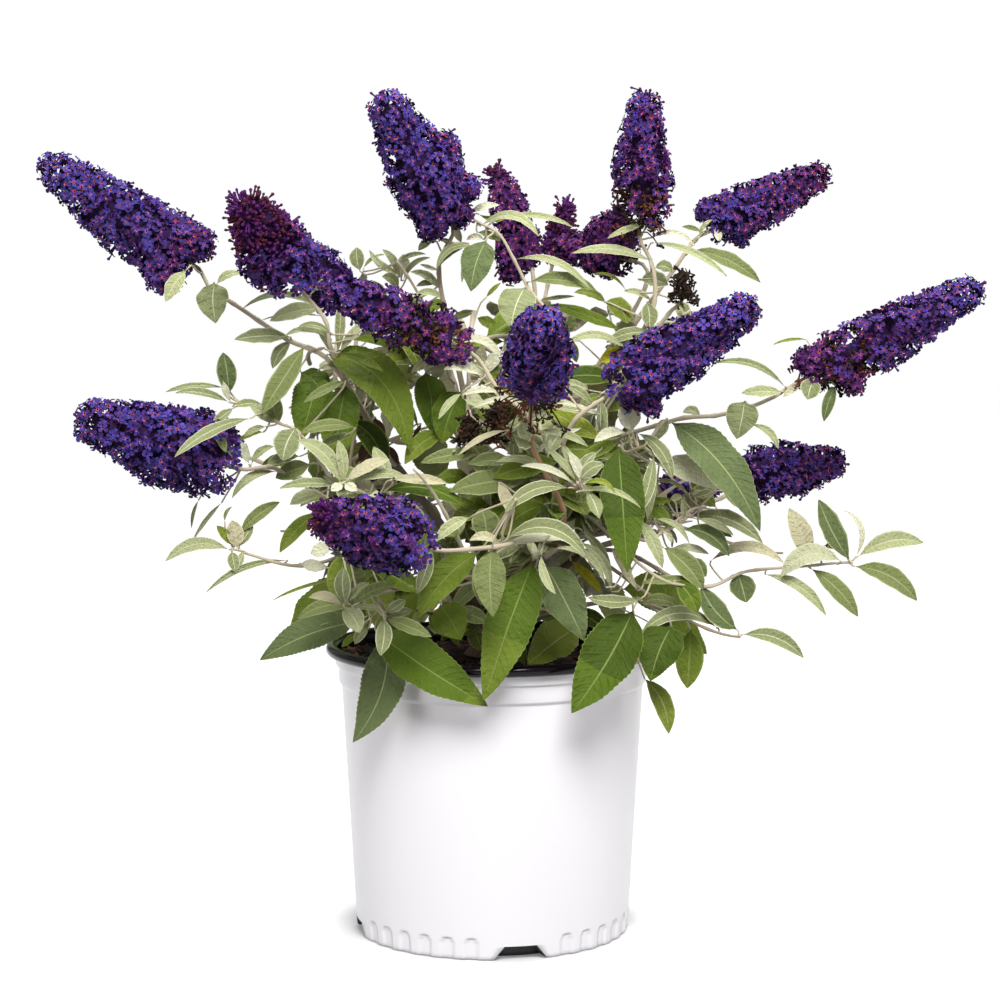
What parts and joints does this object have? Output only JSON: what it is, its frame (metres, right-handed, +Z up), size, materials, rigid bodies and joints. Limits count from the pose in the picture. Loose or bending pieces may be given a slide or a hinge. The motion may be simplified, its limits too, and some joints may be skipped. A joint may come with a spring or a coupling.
{
  "type": "potted butterfly bush",
  "caption": "Flowering butterfly bush in a white round nursery pot: spreading stems, grey-green leaves in pairs and dense violet flower spikes all round.",
  "frame": {"origin": "centre of the pot's flat underside", "axes": "+Z up, -Y towards the viewer of the reference view, +X to the viewer's right"},
  "size_m": [0.765, 0.5793, 0.6977],
  "materials": {
    "pot_plastic": "satin white, with a black rolled rim",
    "potting_mix": "damp dark bark mix",
    "bark": "rough grey-brown bark",
    "foliage": "soft, finely haired grey-green leaf",
    "blossom": "dense small violet flowers"
  },
  "bodies": {
    "root": {"pot": "pot_plastic", "soil": "potting_mix", "trunk": "bark", "bough_left_high": "bark", "bough_left_low": "bark", "bough_centre_high": "bark", "bough_front_left": "bark", "bough_front": "bark", "bough_right_front": "bark", "bough_right_high": "bark", "bough_right_low": "bark", "bough_back_right_high": "bark", "bough_back_high": "bark", "bough_back_right_low": "bark", "bough_back_left_low": "bark", "spike_far_left": "blossom", "spike_left_budding": "blossom", "spike_back_left_high": "blossom", "spike_left": "blossom", "spike_crown": "blossom", "spike_front_left": "blossom", "spike_front": "blossom", "spike_front_reclining": "blossom", "spike_right_front": "blossom", "spike_right_top": "blossom", "spike_far_right": "blossom", "spike_right": "blossom", "spike_right_high": "blossom", "spike_back_right_high": "blossom", "spike_middle_high": "blossom", "spike_top_middle": "blossom", "spike_back_high": "blossom", "spike_top_budding": "blossom", "spike_back_right": "blossom", "spike_back_left": "blossom", "spike_back_left_low": "blossom", "leaves_basal_left": "foliage", "leaves_basal_front": "foliage", "leaves_basal_right": "foliage", "leaves_basal_back_right": "foliage", "leaves_basal_back_left": "foliage", "leaves_left_high": "foliage", "leaves_left_low": "foliage", "leaves_centre_high": "foliage", "leaves_front_left": "foliage", "leaves_front": "foliage", "leaves_right_front": "foliage", "leaves_right_high": "foliage", "leaves_right_low": "foliage", "leaves_back_right_high": "foliage", "leaves_back_high": "foliage", "leaves_back_right_low": "foliage", "leaves_back_left_low": "foliage"}
  },
  "joints": []
}
